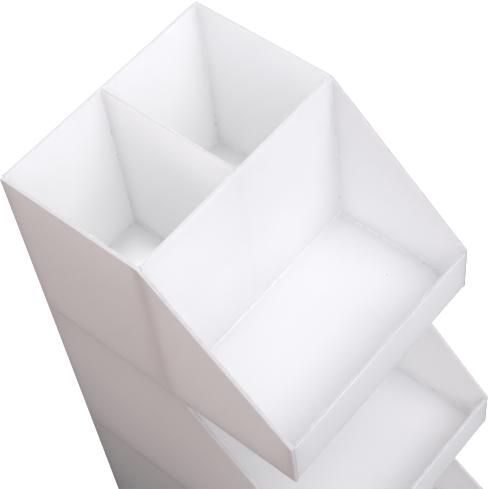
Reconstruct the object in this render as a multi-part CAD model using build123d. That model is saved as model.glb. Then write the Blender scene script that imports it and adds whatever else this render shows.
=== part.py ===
from build123d import *
import os

# Three-tier desk organizer made of flat opal plastic panels bonded edge to edge.
# Millimetres.  X runs left to right and is centred on the object, the open front faces -Y,
# +Z is up, and Z = 0 is the desk surface under the feet.
# Two continuous side panels carry everything: their front edges have a sawtooth outline with
# one sloping mouth and one short upright front edge per tier.  The top tier holds two upright
# cups behind a tray, and the two lower tiers are open shelves that run back to the rear panel.

# ---- driving dimensions -------------------------------------------------------------------
WIDTH = 135.0              # outside of the left panel to the outside of the right panel
SHEET = 2.1                # thickness of every panel
TOP = 350.0                # height of the top rim above the desk
TIER_DROP = 106.0          # top rim down to the underside of the top tier
TIER_PITCH = 121.0         # underside of one tier to the underside of the next
FOOT_HEIGHT = 2.0          # how far the soft feet lift the panels off the desk

# Each tier from the top: its name, where its slope starts and where its upright front edge
# stands (both measured forward from the rear face), and how tall that front edge is.
TIERS = (
    ("top", 84.6, 162.8, 31.9),
    ("middle", 93.2, 181.9, 29.1),
    ("bottom", 74.2, 201.0, 26.0),
)
PARTITION_FRONT = 85.7     # front face of the cup partition, forward of the rear face
DIVIDER_SHIFT = -1.7       # the cup divider stands slightly left of centre
LIP_DROP = 1.2             # the top of a lip lies this far below the end of its slope
LIP_RISE = 1.2             # the lips stop this far above the lower edges of the side panels

EDGE_ROUND = 0.6           # rounding along every exposed panel edge
RIM_CORNER = 1.5           # side outline radius where the top slope leaves the level rim
LIP_CORNER = 2.4           # side outline radius where a slope turns down at the lip
HEEL_CORNER = 0.9          # side outline radius at the lower front corner of a tier
NOTCH_CORNER = 1.2         # side outline radius in the inside corner under a tier
REAR_CORNER = 1.0          # side outline radius at the two rear corners

FOOT_RADIUS = 5.0
FOOT_INSET = 12.0          # foot centre in from the outer faces
FOOT_ROUND = 0.6           # rounding of the lower rim of a foot

# ---- derived dimensions -------------------------------------------------------------------
HALF_WIDTH = WIDTH / 2
INNER = HALF_WIDTH - SHEET                 # inner face of a side panel, out from the centre
DEPTH = max(tier[2] for tier in TIERS)     # rear face to the front of the deepest lip
REAR = DEPTH / 2                           # Y of the rear face


def forward(distance):
    """Y of a point that lies this far forward of the rear face."""
    return REAR - distance


def tier_bottom(index):
    """Z of the underside of tier 0, 1 or 2, counted from the top."""
    return TOP - TIER_DROP - index * TIER_PITCH


def slope_end(index):
    """Z where a tier's slope meets its upright front edge."""
    return tier_bottom(index) + TIERS[index][3]


def slab(x_range, y_range, z_range):
    """A rectangular panel that fills three ranges."""
    ranges = (x_range, y_range, z_range)
    middle = tuple((low + high) / 2 for low, high in ranges)
    size = tuple(high - low for low, high in ranges)
    return Location(middle) * Box(*size)


def soften(panel, heights):
    """Round a panel's long edges that lie along X at the given heights."""
    edges = [edge for edge in panel.edges().filter_by(Axis.X) if near_any(edge.center().Z, heights)]
    return fillet(edges, EDGE_ROUND)


def near_any(value, targets):
    """True when a value matches one of several targets."""
    return any(abs(value - target) < 0.01 for target in targets)


# ---- side panels --------------------------------------------------------------------------
def side_outline():
    """Corners of a side panel seen from the side, as (Y, Z, corner radius)."""
    corners = [(REAR, tier_bottom(2), REAR_CORNER), (REAR, TOP, REAR_CORNER)]
    start_height = TOP
    start_radius = RIM_CORNER
    for index, (_, start, front, _) in enumerate(TIERS):
        corners.append((forward(start), start_height, start_radius))
        corners.append((forward(front), slope_end(index), LIP_CORNER))
        corners.append((forward(front), tier_bottom(index), HEEL_CORNER))
        start_height = tier_bottom(index)
        start_radius = NOTCH_CORNER
    return corners


def side_panel(outer_x, inner_x):
    """A side panel between two X positions, with every edge rounded."""
    corners = side_outline()
    face = make_face(Polyline(*[(y, z) for y, z, _ in corners], close=True))
    for y, z, radius in corners:
        corner = face.vertices().sort_by_distance(Vector(y, z, 0))[0]
        face = fillet(corner, radius)
    # The outline is drawn in the XY plane as (Y, Z); this plane stands it up at outer_x.
    upright = Plane(origin=(outer_x, 0, 0), x_dir=(0, 1, 0), z_dir=(1, 0, 0))
    panel = extrude(upright * face, amount=inner_x - outer_x)
    rims = panel.edges().filter_by(lambda edge: near_any(edge.center().X, (outer_x, inner_x)))
    return fillet(rims, EDGE_ROUND)


# ---- panels between the sides -------------------------------------------------------------
def back_panel():
    """The full-height rear panel, flush with the rear edges of the sides."""
    base = tier_bottom(2)
    panel = slab((-INNER, INNER), (REAR - SHEET, REAR), (base, TOP))
    return soften(panel, (base, TOP))


def tier_floor(index):
    """A floor from the rear panel to the back of its tier's lip."""
    base = tier_bottom(index)
    lip_back = forward(TIERS[index][2] - SHEET)
    return slab((-INNER, INNER), (lip_back, REAR - SHEET), (base, base + SHEET))


def tier_lip(index):
    """The upright front strip of a tier, flush with the front edges of the sides."""
    low = tier_bottom(index) + LIP_RISE
    high = slope_end(index) - LIP_DROP
    front = forward(TIERS[index][2])
    panel = slab((-INNER, INNER), (front, front + SHEET), (low, high))
    return soften(panel, (low, high))


def cup_partition():
    """The upright wall between the cups and the top tray."""
    low = tier_bottom(0) + SHEET
    front = forward(PARTITION_FRONT)
    panel = slab((-INNER, INNER), (front, front + SHEET), (low, TOP))
    return soften(panel, (TOP,))


def cup_divider():
    """The upright wall that splits the space behind the partition into two cups."""
    low = tier_bottom(0) + SHEET
    left = DIVIDER_SHIFT - SHEET / 2
    panel = slab((left, left + SHEET), (forward(PARTITION_FRONT) + SHEET, REAR - SHEET), (low, TOP))
    rim = [edge for edge in panel.edges().filter_by(Axis.Y) if near_any(edge.center().Z, (TOP,))]
    return fillet(rim, EDGE_ROUND)


# ---- feet ---------------------------------------------------------------------------------
def foot(x, y):
    """A soft round pad under the bottom floor, with a rounded lower rim."""
    pad = Pos(x, y, FOOT_HEIGHT / 2) * Cylinder(FOOT_RADIUS, FOOT_HEIGHT)
    lower_rim = pad.edges().filter_by(GeomType.CIRCLE).sort_by(Axis.Z)[0]
    return fillet(lower_rim, FOOT_ROUND)


def feet():
    """Four feet, one near each corner of the bottom tier."""
    side = HALF_WIDTH - FOOT_INSET
    end = DEPTH / 2 - FOOT_INSET
    return {
        "foot_front_left": foot(-side, -end),
        "foot_front_right": foot(side, -end),
        "foot_rear_left": foot(-side, end),
        "foot_rear_right": foot(side, end),
    }


# ---- the whole organizer ------------------------------------------------------------------
def organizer():
    """Every piece by its node name."""
    pieces = {
        "left_side_panel": side_panel(-HALF_WIDTH, -INNER),
        "right_side_panel": side_panel(HALF_WIDTH, INNER),
        "back_panel": back_panel(),
        "cup_partition": cup_partition(),
        "cup_divider": cup_divider(),
    }
    for index, tier in enumerate(TIERS):
        pieces[tier[0] + "_floor"] = tier_floor(index)
        pieces[tier[0] + "_front_lip"] = tier_lip(index)
    pieces.update(feet())
    return pieces


os.makedirs("parts", exist_ok=True)
for name, solid in organizer().items():
    export_step(solid, f"parts/{name}.step")
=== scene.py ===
"""Looks of the three-tier opal plastic desk organizer, in metres, in the CAD frame."""
import math
import random

import bmesh
import bpy
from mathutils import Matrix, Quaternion, Vector


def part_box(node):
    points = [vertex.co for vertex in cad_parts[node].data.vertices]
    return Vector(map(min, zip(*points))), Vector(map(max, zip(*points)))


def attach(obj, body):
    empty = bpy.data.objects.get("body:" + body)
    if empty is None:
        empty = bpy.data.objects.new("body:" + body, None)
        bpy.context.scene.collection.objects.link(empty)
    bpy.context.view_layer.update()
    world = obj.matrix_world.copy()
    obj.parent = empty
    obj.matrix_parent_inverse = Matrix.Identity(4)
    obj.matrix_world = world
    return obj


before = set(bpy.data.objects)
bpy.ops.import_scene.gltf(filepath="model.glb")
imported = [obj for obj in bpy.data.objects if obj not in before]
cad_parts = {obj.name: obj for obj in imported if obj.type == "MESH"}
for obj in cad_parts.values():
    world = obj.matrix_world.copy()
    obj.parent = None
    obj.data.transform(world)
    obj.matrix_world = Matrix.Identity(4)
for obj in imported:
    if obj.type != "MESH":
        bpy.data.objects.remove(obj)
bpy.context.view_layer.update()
MM = 0.001
X, Y, Z = 0, 1, 2

# ---- nodes by what they are -----------------------------------------------------------------
SIDES = ("left_side_panel", "right_side_panel")
TIERS = ("top", "middle", "bottom")
FLOORS = tuple(tier + "_floor" for tier in TIERS)
FEET = tuple(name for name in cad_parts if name.startswith("foot_"))
PANELS = tuple(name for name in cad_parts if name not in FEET)


def low_corner(name):
    """The lowest x, y and z of a node's box."""
    return Vector(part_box(name)[0])


def high_corner(name):
    """The highest x, y and z of a node's box."""
    return Vector(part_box(name)[1])


def thin_axis(name):
    """The axis along which a panel is thinnest."""
    size = high_corner(name) - low_corner(name)
    return min((X, Y, Z), key=lambda axis: size[axis])


INNER_LEFT = high_corner("left_side_panel").x
INNER_RIGHT = low_corner("right_side_panel").x
REAR_FACE = low_corner("back_panel").y
CUP_FRONT = high_corner("cup_partition").y
CUP_FLOOR = high_corner("top_floor").z
# The left and right walls of each cup.
CUPS = (
    ("left_cup", INNER_LEFT, low_corner("cup_divider").x),
    ("right_cup", high_corner("cup_divider").x, INNER_RIGHT),
)


# ---- material helpers -----------------------------------------------------------------------
def new_material(name):
    """A node material that holds only its output and one Principled shader."""
    material = bpy.data.materials.new(name)
    material.use_nodes = True
    tree = material.node_tree
    tree.nodes.clear()
    output = tree.nodes.new("ShaderNodeOutputMaterial")
    shader = tree.nodes.new("ShaderNodeBsdfPrincipled")
    tree.links.new(shader.outputs["BSDF"], output.inputs["Surface"])
    return material, tree, shader


def node(tree, kind, settings=None, **sockets):
    """A shader node with its settings, input values and input links; _0 means the first input."""
    made = tree.nodes.new(kind)
    for key, value in (settings or {}).items():
        setattr(made, key, value)
    for key, value in sockets.items():
        socket = made.inputs[int(key[1:])] if key[0] == "_" else made.inputs[key]
        if isinstance(value, bpy.types.NodeSocket):
            tree.links.new(value, socket)
        else:
            socket.default_value = value
    return made


def object_place(tree):
    """Object coordinates, which are metres in the CAD frame."""
    return tree.nodes.new("ShaderNodeTexCoord").outputs["Object"]


def shifted(tree, offset):
    """Object coordinates moved by an offset, so that no two panels share a pattern."""
    return node(tree, "ShaderNodeMapping", Vector=object_place(tree), Location=offset).outputs["Vector"]


def noise(tree, place, per_metre, detail=2.0, roughness=0.5):
    """Noise with about per_metre features in every metre."""
    made = node(tree, "ShaderNodeTexNoise", Vector=place, Scale=per_metre, Detail=detail, Roughness=roughness)
    return made.outputs["Fac"]


def ramp(tree, factor, start, end, start_value, end_value):
    """factor mapped from start..end to start_value..end_value, held at both ends."""
    made = node(tree, "ShaderNodeMapRange", {"clamp": True}, Value=factor)
    made.inputs["From Min"].default_value = start
    made.inputs["From Max"].default_value = end
    made.inputs["To Min"].default_value = start_value
    made.inputs["To Max"].default_value = end_value
    return made.outputs["Result"]


def math_node(tree, operation, first, second=0.0):
    """The result of one Math node."""
    return node(tree, "ShaderNodeMath", {"operation": operation}, _0=first, _1=second).outputs["Value"]


def dot(tree, first, second):
    """The dot product of two vectors."""
    made = node(tree, "ShaderNodeVectorMath", {"operation": "DOT_PRODUCT"}, _0=first, _1=second)
    return made.outputs["Value"]


def scaled(tree, colour, share):
    """A fixed colour times a share that varies."""
    made = node(tree, "ShaderNodeVectorMath", {"operation": "SCALE"}, _0=colour, Scale=share)
    return made.outputs["Vector"]


def grey(tree, shade):
    """A grey whose brightness varies."""
    return node(tree, "ShaderNodeCombineColor", Red=shade, Green=shade, Blue=shade).outputs["Color"]


def bump(tree, height, strength, depth, **below):
    """The normal of a bump of this depth in metres."""
    made = node(tree, "ShaderNodeBump", Height=height, Strength=strength, Distance=depth, **below)
    return made.outputs["Normal"]


# ---- opal plastic ---------------------------------------------------------------------------
OPAL_COLOUR = (0.995, 0.996, 0.993)
OPAL_INDEX = 1.49                  # index of refraction
OPAL_SHEEN = 0.6                   # level of the gloss, where 0.5 is plain plastic
CLEAN, SCUFFED = 0.16, 0.24        # roughness of the panels
CLOUDS_PER_METRE = 14.0
CLOUD_TONE = 0.985                 # brightness where a panel is cloudiest
WAVES_PER_METRE = 22.0             # slow waves of the sheet
WAVE_DEPTH = 0.6 * MM
WAVE_STRENGTH = 0.25
SCUFFS_PER_METRE = 260.0
SCUFF_DEPTH = 0.04 * MM
SCUFF_STRENGTH = 0.12
PATTERN_STEP = (0.31, 0.17, 0.23)  # metres from one panel's pattern to the next one's
EDGE_PAINTED_SHADE = 0.78                   # painted shade: brightness of a cut edge, where a face has 1
EDGE_TURN = (0.25, 0.9)            # how far a surface faces the thin way, from cut edge to face
SPECK_CELL = 17.0 * MM             # size of the cells that may hold one speck of dust each
SPECK_CHANCE = 0.14                # share of the cells that do
SPECK_RADIUS = 0.55 * MM           # the largest speck
SPECK_TONE = 0.80                  # brightness of a speck
OPAL_THROUGH = 0.30                # share of the light that goes through each face of a panel
PARTITION_THROUGH = 0.18           # the same for the partition, which is lit from both sides
# Less goes through where the end of another panel is bonded behind a panel.
STRIP_THROUGH = {
    "left_side_panel": 0.03,
    "right_side_panel": 0.12,
    "back_panel": 0.12,
    "cup_partition": 0.09,
}
STRIP_CORE = 1.0 * MM              # how deep inside the bond such a strip is at its strongest
STRIP_REACH = 2.5 * MM             # how far it fades out beside the bond
END_SKIN = (0.1 * MM, 0.05 * MM)   # depth at which the light stops, in front of a bonded end


def edge_painted_shade(tree, panel):
    """Painted shade over a panel: full brightness on its faces, lower on its cut edges."""
    thin_way = [float(axis == thin_axis(panel)) for axis in (X, Y, Z)]
    normal = tree.nodes.new("ShaderNodeNewGeometry").outputs["Normal"]
    flat = math_node(tree, "ABSOLUTE", dot(tree, normal, thin_way))
    return ramp(tree, flat, *EDGE_TURN, EDGE_PAINTED_SHADE, 1.0)


def cloud_tone(tree, place):
    """Brightness that drifts a very little over a panel."""
    cloud = noise(tree, place, CLOUDS_PER_METRE, 3.0)
    return ramp(tree, cloud, 0.3, 0.7, CLOUD_TONE, 1.0)


def speck_tone(tree, place):
    """Brightness that drops in a few tiny specks of dust."""
    cells = node(tree, "ShaderNodeTexVoronoi", Vector=place, Scale=1 / SPECK_CELL, Randomness=1.0)
    chance = node(tree, "ShaderNodeSeparateColor", Color=cells.outputs["Color"]).outputs["Red"]
    reach = ramp(tree, chance, 1 - SPECK_CHANCE, 1.0, 0.0, SPECK_RADIUS / SPECK_CELL)
    inside = math_node(tree, "LESS_THAN", cells.outputs["Distance"], reach)
    return ramp(tree, inside, 0.0, 1.0, 1.0, SPECK_TONE)


def bonded_behind(panel):
    """The panels that stand with a cut end against a face of this one."""
    if panel in SIDES:
        return [name for name in PANELS if name not in SIDES and name != "cup_divider"]
    if panel == "back_panel":
        return ["cup_divider", *FLOORS]
    return ["cup_divider"] if panel == "cup_partition" else []


def bonded_ends(panel):
    """The axes along which both ends of a panel are hidden in bonds."""
    if panel in SIDES:
        return ()
    if panel in FLOORS:
        return (X, Y)
    return (Y,) if panel == "cup_divider" else (X,)


def outside(tree, coordinates, name, axis):
    """How far a place lies outside a node's box along one axis; below zero inside it."""
    low, high = low_corner(name)[axis], high_corner(name)[axis]
    from_middle = math_node(tree, "SUBTRACT", coordinates[axis], (low + high) / 2)
    return math_node(tree, "SUBTRACT", math_node(tree, "ABSOLUTE", from_middle), (high - low) / 2)


def strip_share(tree, coordinates, panel, passing):
    """Share of light passed by a panel: less along the strips where other panels are bonded to it."""
    across = [axis for axis in (X, Y, Z) if axis != thin_axis(panel)]
    nearest = None
    for name in bonded_behind(panel):
        gaps = [outside(tree, coordinates, name, axis) for axis in across]
        gap = math_node(tree, "MAXIMUM", *gaps)
        nearest = gap if nearest is None else math_node(tree, "MINIMUM", nearest, gap)
    if nearest is None:
        return passing
    return ramp(tree, nearest, -STRIP_CORE, STRIP_REACH, STRIP_THROUGH[panel], passing)


def passed_share(tree, panel, passing):
    """Share of light passed by a panel: none at its bonded ends, less at its strips."""
    coordinates = node(tree, "ShaderNodeSeparateXYZ", Vector=object_place(tree)).outputs
    share = strip_share(tree, coordinates, panel, passing)
    deep, shallow = END_SKIN
    for axis in bonded_ends(panel):
        gap = outside(tree, coordinates, panel, axis)
        share = math_node(tree, "MULTIPLY", ramp(tree, gap, -deep, -shallow, 1.0, 0.0), share)
    return share


def let_light_through(tree, shader, colour, share):
    """Mix a share of soft through-light into a shader."""
    through = node(tree, "ShaderNodeBsdfTranslucent", Color=colour)
    mixed = node(tree, "ShaderNodeMixShader", _0=share, _1=shader.outputs["BSDF"], _2=through.outputs["BSDF"])
    output = next(item for item in tree.nodes if item.type == "OUTPUT_MATERIAL")
    tree.links.new(mixed.outputs["Shader"], output.inputs["Surface"])


def opal_plastic(panel, offset):
    """Glossy white opal sheet that lets light through softly, with faint waves, scuffs, dust and painted
    shade on its cut edges.
    """
    material, tree, shader = new_material("opal_" + panel)
    place = shifted(tree, offset)
    # the tone holds painted shade on the cut edges, faint random clouds and specks of dust
    tone = math_node(tree, "MULTIPLY", edge_painted_shade(tree, panel), cloud_tone(tree, place))
    tone = math_node(tree, "MULTIPLY", tone, speck_tone(tree, place))
    colour = scaled(tree, OPAL_COLOUR, tone)
    tree.links.new(colour, shader.inputs["Base Color"])
    scuff = noise(tree, place, SCUFFS_PER_METRE, 4.0, 0.65)
    tree.links.new(ramp(tree, scuff, 0.45, 0.75, CLEAN, SCUFFED), shader.inputs["Roughness"])
    wavy = bump(tree, noise(tree, place, WAVES_PER_METRE, 1.0), WAVE_STRENGTH, WAVE_DEPTH)
    scuffed = bump(tree, scuff, SCUFF_STRENGTH, SCUFF_DEPTH, Normal=wavy)
    tree.links.new(scuffed, shader.inputs["Normal"])
    shader.inputs["IOR"].default_value = OPAL_INDEX
    shader.inputs["Specular IOR Level"].default_value = OPAL_SHEEN
    passing = PARTITION_THROUGH if panel == "cup_partition" else OPAL_THROUGH
    let_light_through(tree, shader, colour, passed_share(tree, panel, passing))
    return material


# ---- feet -----------------------------------------------------------------------------------
GRAINS_PER_METRE = 900.0
GRAIN_DEPTH = 0.05 * MM


def foot_rubber():
    """Soft pale grey pad with a fine grain."""
    material, tree, shader = new_material("foot_rubber")
    grain = noise(tree, object_place(tree), GRAINS_PER_METRE)
    tree.links.new(grey(tree, ramp(tree, grain, 0.3, 0.7, 0.72, 0.80)), shader.inputs["Base Color"])
    tree.links.new(ramp(tree, grain, 0.3, 0.7, 0.5, 0.65), shader.inputs["Roughness"])
    tree.links.new(bump(tree, grain, 0.3, GRAIN_DEPTH), shader.inputs["Normal"])
    return material


def dress(name, material):
    """Give a CAD node its material."""
    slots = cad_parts[name].data.materials
    slots.clear()
    slots.append(material)


def dress_all():
    """Opal plastic on every panel, each with its own pattern, and rubber on the feet."""
    for index, name in enumerate(sorted(PANELS)):
        offset = [step * index for step in PATTERN_STEP]
        dress(name, opal_plastic(name, offset))
    rubber = foot_rubber()
    for name in FEET:
        dress(name, rubber)


# ---- bond beads -----------------------------------------------------------------------------
BEAD_RADIUS = 0.5 * MM             # fillet of cured solvent bond in every inside corner
BEAD_SWELL = (0.75, 1.25)          # how the radius varies along a bead
BEAD_SINK = 0.02 * MM              # how far a bead reaches into the panels that it joins
BEAD_STEP = 3.0 * MM               # spacing of the sections along a bead
BEAD_CURVE_STEPS = 5               # faces across the hollow front of a bead
FEWEST_STEPS = 3                   # along a short bead
RIM_GAP = 1.0 * MM                 # beads stop this far below a rim
BOND_PATCHES_PER_METRE = 180.0
BOND_DASHES_PER_METRE = 330.0
BOND_DEPTH = 0.1 * MM              # unevenness of a bead's surface
dice = random.Random(7)


def bond_plastic():
    """Cured bond: opal and glossier than the sheet, with short darker dashes where bubbles were caught."""
    material, tree, shader = new_material("opal_bond")
    place = object_place(tree)
    patches = noise(tree, place, BOND_PATCHES_PER_METRE, 3.0)
    dashes = noise(tree, place, BOND_DASHES_PER_METRE, 1.0)
    colour = scaled(tree, OPAL_COLOUR, ramp(tree, dashes, 0.62, 0.72, 0.97, 0.80))
    tree.links.new(colour, shader.inputs["Base Color"])
    tree.links.new(ramp(tree, patches, 0.3, 0.7, 0.12, 0.2), shader.inputs["Roughness"])
    tree.links.new(bump(tree, patches, 0.3, BOND_DEPTH), shader.inputs["Normal"])
    return material


def bead_section(radius):
    """Corner section of a bead: two legs sunk into the panels, joined by a hollow quarter arc."""
    points = [(-BEAD_SINK, -BEAD_SINK), (radius, -BEAD_SINK)]
    for step in range(BEAD_CURVE_STEPS + 1):
        angle = math.radians(90 * step / BEAD_CURVE_STEPS)
        points.append((radius * (1 - math.sin(angle)), radius * (1 - math.cos(angle))))
    points.append((-BEAD_SINK, radius))
    return points


def add_bead(shape, start, end, first, second):
    """One bead from start to end; first and second point away from the corner along its two panels."""
    run = end - start
    count = max(FEWEST_STEPS, round(run.length / BEAD_STEP))
    swell = [dice.uniform(*BEAD_SWELL) for _ in range(count + 1)]
    rings = []
    for index in range(count + 1):
        near = swell[max(0, index - 1):index + 2]
        radius = BEAD_RADIUS * sum(near) / len(near)
        centre = start + run * (index / count)
        rings.append([shape.verts.new(centre + first * a + second * b) for a, b in bead_section(radius)])
    size = len(rings[0])
    for ring, following in zip(rings, rings[1:]):
        for side in range(size):
            after = (side + 1) % size
            shape.faces.new((ring[side], ring[after], following[after], following[side]))
    shape.faces.new(list(reversed(rings[0])))
    shape.faces.new(rings[-1])


def object_from(name, shape, material):
    """A linked object made from a bmesh, with one material."""
    mesh = bpy.data.meshes.new(name)
    shape.to_mesh(mesh)
    shape.free()
    mesh.materials.append(material)
    made = bpy.data.objects.new(name, mesh)
    bpy.context.scene.collection.objects.link(made)
    return made


def pocket_beads(name, material, low, high, front_top):
    """Beads in the four floor corners and four upright corners of one open pocket.

    low is its floor's front left corner and high the top of its rear right corner.
    """
    shape = bmesh.new()
    left, front, floor = low
    right, rear, rear_top = high
    east, north, up = Vector((1, 0, 0)), Vector((0, 1, 0)), Vector((0, 0, 1))
    for x, inward in ((left, east), (right, -east)):
        add_bead(shape, Vector((x, front, floor)), Vector((x, rear, floor)), inward, up)
        add_bead(shape, Vector((x, rear, floor)), Vector((x, rear, rear_top)), inward, -north)
        add_bead(shape, Vector((x, front, floor)), Vector((x, front, front_top)), inward, north)
    for y, inward in ((front, north), (rear, -north)):
        add_bead(shape, Vector((left, y, floor)), Vector((right, y, floor)), inward, up)
    bmesh.ops.recalc_face_normals(shape, faces=shape.faces)
    piece = object_from(name, shape, material)
    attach(piece, "root")


def make_beads():
    """The beads of both cups and of the three tiers."""
    material = bond_plastic()
    cup_top = high_corner("back_panel").z - RIM_GAP
    for name, left, right in CUPS:
        low, high = Vector((left, CUP_FRONT, CUP_FLOOR)), Vector((right, REAR_FACE, cup_top))
        pocket_beads("bond_" + name, material, low, high, cup_top)
    # A tray's rear wall and how high its beads go: the slope of the sides starts at the partition.
    rears = {
        "top": (low_corner("cup_partition").y, cup_top - RIM_GAP),
        "middle": (REAR_FACE, low_corner("top_floor").z),
        "bottom": (REAR_FACE, low_corner("middle_floor").z),
    }
    for tier in TIERS:
        rear, rear_top = rears[tier]
        lip = high_corner(tier + "_front_lip")
        low = Vector((INNER_LEFT, lip.y, high_corner(tier + "_floor").z))
        high = Vector((INNER_RIGHT, rear, rear_top))
        pocket_beads("bond_" + tier + "_tier", material, low, high, lip.z - RIM_GAP)


# ---- stage ----------------------------------------------------------------------------------
FLOOR_REACH = 4.0                  # the floor's edge is this far from the middle
WALL_HEIGHT = 3.0                  # of the pale walls around the floor that is seen
FLOOR_TONE = 0.86
FLOOR_GLOW = 0.8
BOUNCE_DEPTH = 0.5 * MM            # the floor that light bounces off lies this far below the other
BOUNCE_WAY = (0.8, -0.6, 0.0)      # its painted shadow fades out in this direction, so it grows lighter
# painted shadow of the organizer on the bounce floor: where it is darkest, where it ends, and its tones
BOUNCE_FROM, BOUNCE_TO = -0.08, 0.10
BOUNCE_SHADOW, BOUNCE_LIGHT = 0.02, 0.45
FLAG_AT = -0.30                    # a black card stands this far to the left
FLAG_HALF_WIDTH = 0.40
FLAG_HEIGHT = 0.20
FLAG_TONE = 0.02


def floor_shape(height, wall=None):
    """A large flat sheet at one height, with upright walls around it if their top is given."""
    shape = bmesh.new()
    bmesh.ops.create_grid(shape, x_segments=2, y_segments=2, size=FLOOR_REACH)
    bmesh.ops.translate(shape, verts=shape.verts, vec=(0, 0, height))
    corners = [(a * FLOOR_REACH, b * FLOOR_REACH) for a, b in ((-1, -1), (1, -1), (1, 1), (-1, 1))]
    if wall is not None:
        for start, end in zip(corners, corners[1:] + corners[:1]):
            points = ((*start, height), (*end, height), (*end, wall), (*start, wall))
            shape.faces.new([shape.verts.new(point) for point in points])
    return shape


def dull(shader, roughness, sheen):
    """Take the gloss off a shader."""
    shader.inputs["Roughness"].default_value = roughness
    shader.inputs["Specular IOR Level"].default_value = sheen


def make_seen_floor():
    """The white floor and walls that the camera sees, and nothing else does."""
    material, tree, shader = new_material("pale_floor")
    shader.inputs["Base Color"].default_value = (FLOOR_TONE, FLOOR_TONE, FLOOR_TONE, 1)
    dull(shader, 0.9, 0.1)
    shader.inputs["Emission Color"].default_value = (1, 1, 1, 1)
    shader.inputs["Emission Strength"].default_value = FLOOR_GLOW
    seen = object_from("floor_seen", floor_shape(0.0, WALL_HEIGHT), material)
    seen.visible_diffuse = False
    seen.visible_glossy = False
    seen.visible_transmission = False
    seen.visible_shadow = False


def make_bounce_floor():
    """The pale floor that light bounces off, with a painted shadow of the organizer that makes it darker
    towards the rear left; the camera doesn't see it.
    """
    material, tree, shader = new_material("bounce_floor")
    along = dot(tree, object_place(tree), BOUNCE_WAY)
    # painted shadow: darker towards the rear left
    shade = ramp(tree, along, BOUNCE_FROM, BOUNCE_TO, BOUNCE_SHADOW, BOUNCE_LIGHT)
    tree.links.new(grey(tree, shade), shader.inputs["Base Color"])
    dull(shader, 0.9, 0.1)
    bounce = object_from("floor_bounce", floor_shape(-BOUNCE_DEPTH), material)
    bounce.visible_camera = False


def make_flag():
    """A black card, unseen, that keeps light off the lower left of the organizer."""
    shape = bmesh.new()
    near, far = -FLAG_HALF_WIDTH, FLAG_HALF_WIDTH
    corners = ((near, 0), (far, 0), (far, FLAG_HEIGHT), (near, FLAG_HEIGHT))
    shape.faces.new([shape.verts.new((FLAG_AT, y, z)) for y, z in corners])
    material, tree, shader = new_material("black_card")
    shader.inputs["Base Color"].default_value = (FLAG_TONE, FLAG_TONE, FLAG_TONE, 1)
    dull(shader, 1.0, 0.0)
    card = object_from("flag", shape, material)
    card.visible_camera = False


# ---- light ----------------------------------------------------------------------------------
# Parts of the studio around the object: the axis of a direction, where along it the part is
# dark and where it is full, and its colour.
STUDIO = (
    (X, 0.1, -0.9, (0.229, 0.231, 0.243)),
    (Z, -0.1, 0.3, (0.512, 0.518, 0.557)),
)
BODY = (0, 0, 0.22)                # the lights aim at the middle of the object
# Name, place, aim, size, power in watts and colour.
LIGHTS = (
    ("key", (0.1, -0.6, 1.2), BODY, (0.8, 0.8), 5.75, (0.967, 0.944, 1.0)),
    ("front_left", (-0.7, -0.8, 0.9), BODY, (0.7, 0.7), 1.56, (0.98, 0.92, 1.0)),
    ("low_front", (0.2, -1.2, 0.3), BODY, (0.9, 0.3), 1.6, (0.98, 0.96, 1.0)),
    ("rear", (0.0, 1.2, 0.7), BODY, (0.9, 0.7), 10.8, (0.995, 0.993, 1.0)),
    ("right", (1.2, 0.0, 0.6), BODY, (0.9, 0.7), 5.2, (1.0, 0.96, 0.99)),
    ("left", (-0.5, 0.05, 0.36), (0, 0, 0.33), (0.25, 0.2), 0.32, (1.0, 0.44, 0.20)),
)
CUP_LIGHT_HEIGHT = 0.7
CUP_LIGHT_SIZE = (0.045, 0.06)     # a little smaller than a cup's floor
CUP_LIGHT_POWER = 0.0022
CUP_LIGHT_SPREAD = 2               # width of the beam in degrees
MOST_BOUNCES = 64                  # light passes through many panels in a row
SOFT_BOUNCES = 48


def area_light(name, place, aim, size, power, colour=(1, 1, 1), spread=180):
    """A rectangular light, unseen; spread is the width of its beam in degrees."""
    data = bpy.data.lights.new(name, "AREA")
    data.shape = "RECTANGLE"
    data.size, data.size_y = size
    data.energy = power
    data.color = colour
    data.spread = math.radians(spread)
    light = bpy.data.objects.new(name, data)
    light.location = place
    light.rotation_mode = "QUATERNION"
    light.rotation_quaternion = (Vector(aim) - Vector(place)).to_track_quat("-Z", "Y")
    light.visible_camera = False
    bpy.context.scene.collection.objects.link(light)


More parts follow.
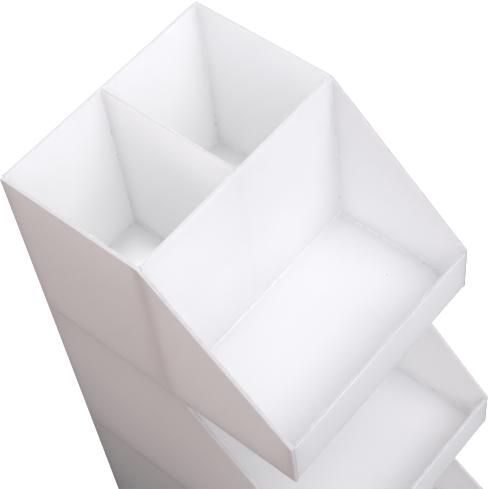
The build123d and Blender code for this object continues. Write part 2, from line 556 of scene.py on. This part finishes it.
def make_lights():
    """The studio's lights, and a narrow one straight over each cup."""
    for settings in LIGHTS:
        area_light(*settings)
    y = (CUP_FRONT + REAR_FACE) / 2
    for name, left, right in CUPS:
        x = (left + right) / 2
        place, aim = (x, y, CUP_LIGHT_HEIGHT), (x, y, CUP_FLOOR)
        area_light("over_" + name, place, aim, CUP_LIGHT_SIZE, CUP_LIGHT_POWER, spread=CUP_LIGHT_SPREAD)


def make_world():
    """A soft studio: dim from the left, brighter from above, dark on the right and underfoot."""
    world = bpy.data.worlds.new("studio")
    bpy.context.scene.world = world
    world.use_nodes = True
    tree = world.node_tree
    coordinates = tree.nodes.new("ShaderNodeTexCoord").outputs["Generated"]
    direction = node(tree, "ShaderNodeSeparateXYZ", Vector=coordinates).outputs
    parts = [scaled(tree, colour, ramp(tree, direction[axis], dark, full, 0.0, 1.0))
             for axis, dark, full, colour in STUDIO]
    total = node(tree, "ShaderNodeVectorMath", {"operation": "ADD"}, _0=parts[0], _1=parts[1])
    tree.links.new(total.outputs["Vector"], tree.nodes["Background"].inputs["Color"])


# ---- camera ---------------------------------------------------------------------------------
CAMERA_AT = Vector((-0.2623, -0.2652, 0.8296))
CAMERA_AIM = Vector((-0.0057, 0.0136, 0.3000))
CAMERA_ROLL = 9.08                 # degrees, the top of the camera leans to its right
CAMERA_LENS = 102.3                # focal length in millimetres
SENSOR_WIDTH = 36.0                # in millimetres


def make_camera():
    """The camera, above the front left of the object and leaning a little."""
    data = bpy.data.cameras.new("camera")
    data.sensor_width = SENSOR_WIDTH
    data.lens = CAMERA_LENS
    camera = bpy.data.objects.new("camera", data)
    camera.location = CAMERA_AT
    camera.rotation_mode = "QUATERNION"
    level = (CAMERA_AIM - CAMERA_AT).to_track_quat("-Z", "Y")
    camera.rotation_quaternion = level @ Quaternion((0, 0, 1), math.radians(-CAMERA_ROLL))
    bpy.context.scene.collection.objects.link(camera)
    bpy.context.scene.camera = camera


# ---- the scene ------------------------------------------------------------------------------
dress_all()
make_beads()
make_seen_floor()
make_bounce_floor()
make_flag()
make_world()
make_lights()
make_camera()
bpy.context.scene.view_settings.view_transform = "Standard"
bpy.context.scene.cycles.max_bounces = MOST_BOUNCES
bpy.context.scene.cycles.diffuse_bounces = SOFT_BOUNCES
bpy.context.scene.cycles.transmission_bounces = SOFT_BOUNCES
